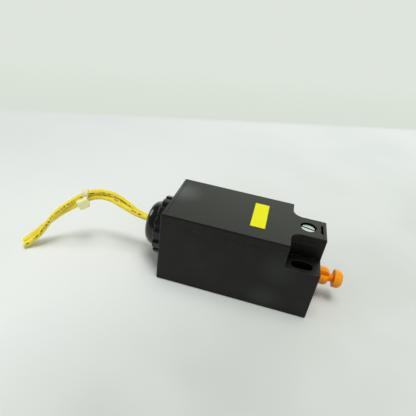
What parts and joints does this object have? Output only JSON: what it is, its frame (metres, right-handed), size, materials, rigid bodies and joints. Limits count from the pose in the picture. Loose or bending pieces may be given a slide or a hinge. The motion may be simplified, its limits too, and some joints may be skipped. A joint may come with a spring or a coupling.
{
  "type": "door position switch",
  "caption": "Door position switch: black moulded case with slotted fixing notches, screwed cover, sprung ribbed plunger, fluted domed cable gland and loose tied wires.",
  "frame": {"origin": "centre of the flat mounting face on the back of the case", "axes": "+Y along the case towards the plunger, +Z out of the mounting face through the cover, +X to the right of the plunger seen from behind the gland"},
  "size_m": [0.046, 0.1671, 0.0391],
  "materials": {
    "case_plastic": "fine grained, glass filled, near black",
    "gland_plastic": "polished black",
    "plunger_plastic": "satin orange",
    "bush_plastic": "natural",
    "block_plastic": "moulded, pale grey",
    "seal_rubber": "black rubber",
    "zinc_steel": "bright zinc",
    "spring_steel": "drawn wire",
    "contact_brass": "bare brass",
    "copper": "bare copper strands",
    "label_tape": "bare yellow tape",
    "wire_insulation": "satin yellow",
    "tie_nylon": "natural nylon"
  },
  "bodies": {
    "switch_body": {"housing": "case_plastic", "cover": "case_plastic", "cover_gasket": "seal_rubber", "cover_screw": "zinc_steel", "cover_insert": "contact_brass", "label": "label_tape", "plunger_seal": "seal_rubber", "plunger_bush": "bush_plastic", "contact_block": "block_plastic", "return_spring": "spring_steel", "nc_terminal_left": "contact_brass", "nc_terminal_right": "contact_brass", "no_terminal_left": "contact_brass", "no_terminal_right": "contact_brass", "terminal_screws": "zinc_steel", "clamp_plates": "zinc_steel", "block_screws": "zinc_steel", "gland_cap": "gland_plastic", "thrust_ring": "bush_plastic", "gland_seal": "seal_rubber", "lead_1": "wire_insulation", "lead_2": "wire_insulation", "lead_ends": "copper", "wire_1": "wire_insulation", "wire_2": "wire_insulation", "cable_tie": "tie_nylon"},
    "plunger_set": {"plunger": "plunger_plastic", "plunger_clip": "spring_steel", "contact_carrier": "bush_plastic", "nc_bridge": "contact_brass", "no_bridge": "contact_brass", "nc_spring": "spring_steel", "no_spring": "spring_steel"}
  },
  "joints": [
    {"name": "plunger_slide", "type": "slide", "parent": "switch_body", "child": "plunger_set", "axis": [0, -1, 0], "range_m": [0, 0.005], "stiffness_N_per_m": 1000, "springref_m": -0.004, "deforming": ["return_spring"]}
  ]
}
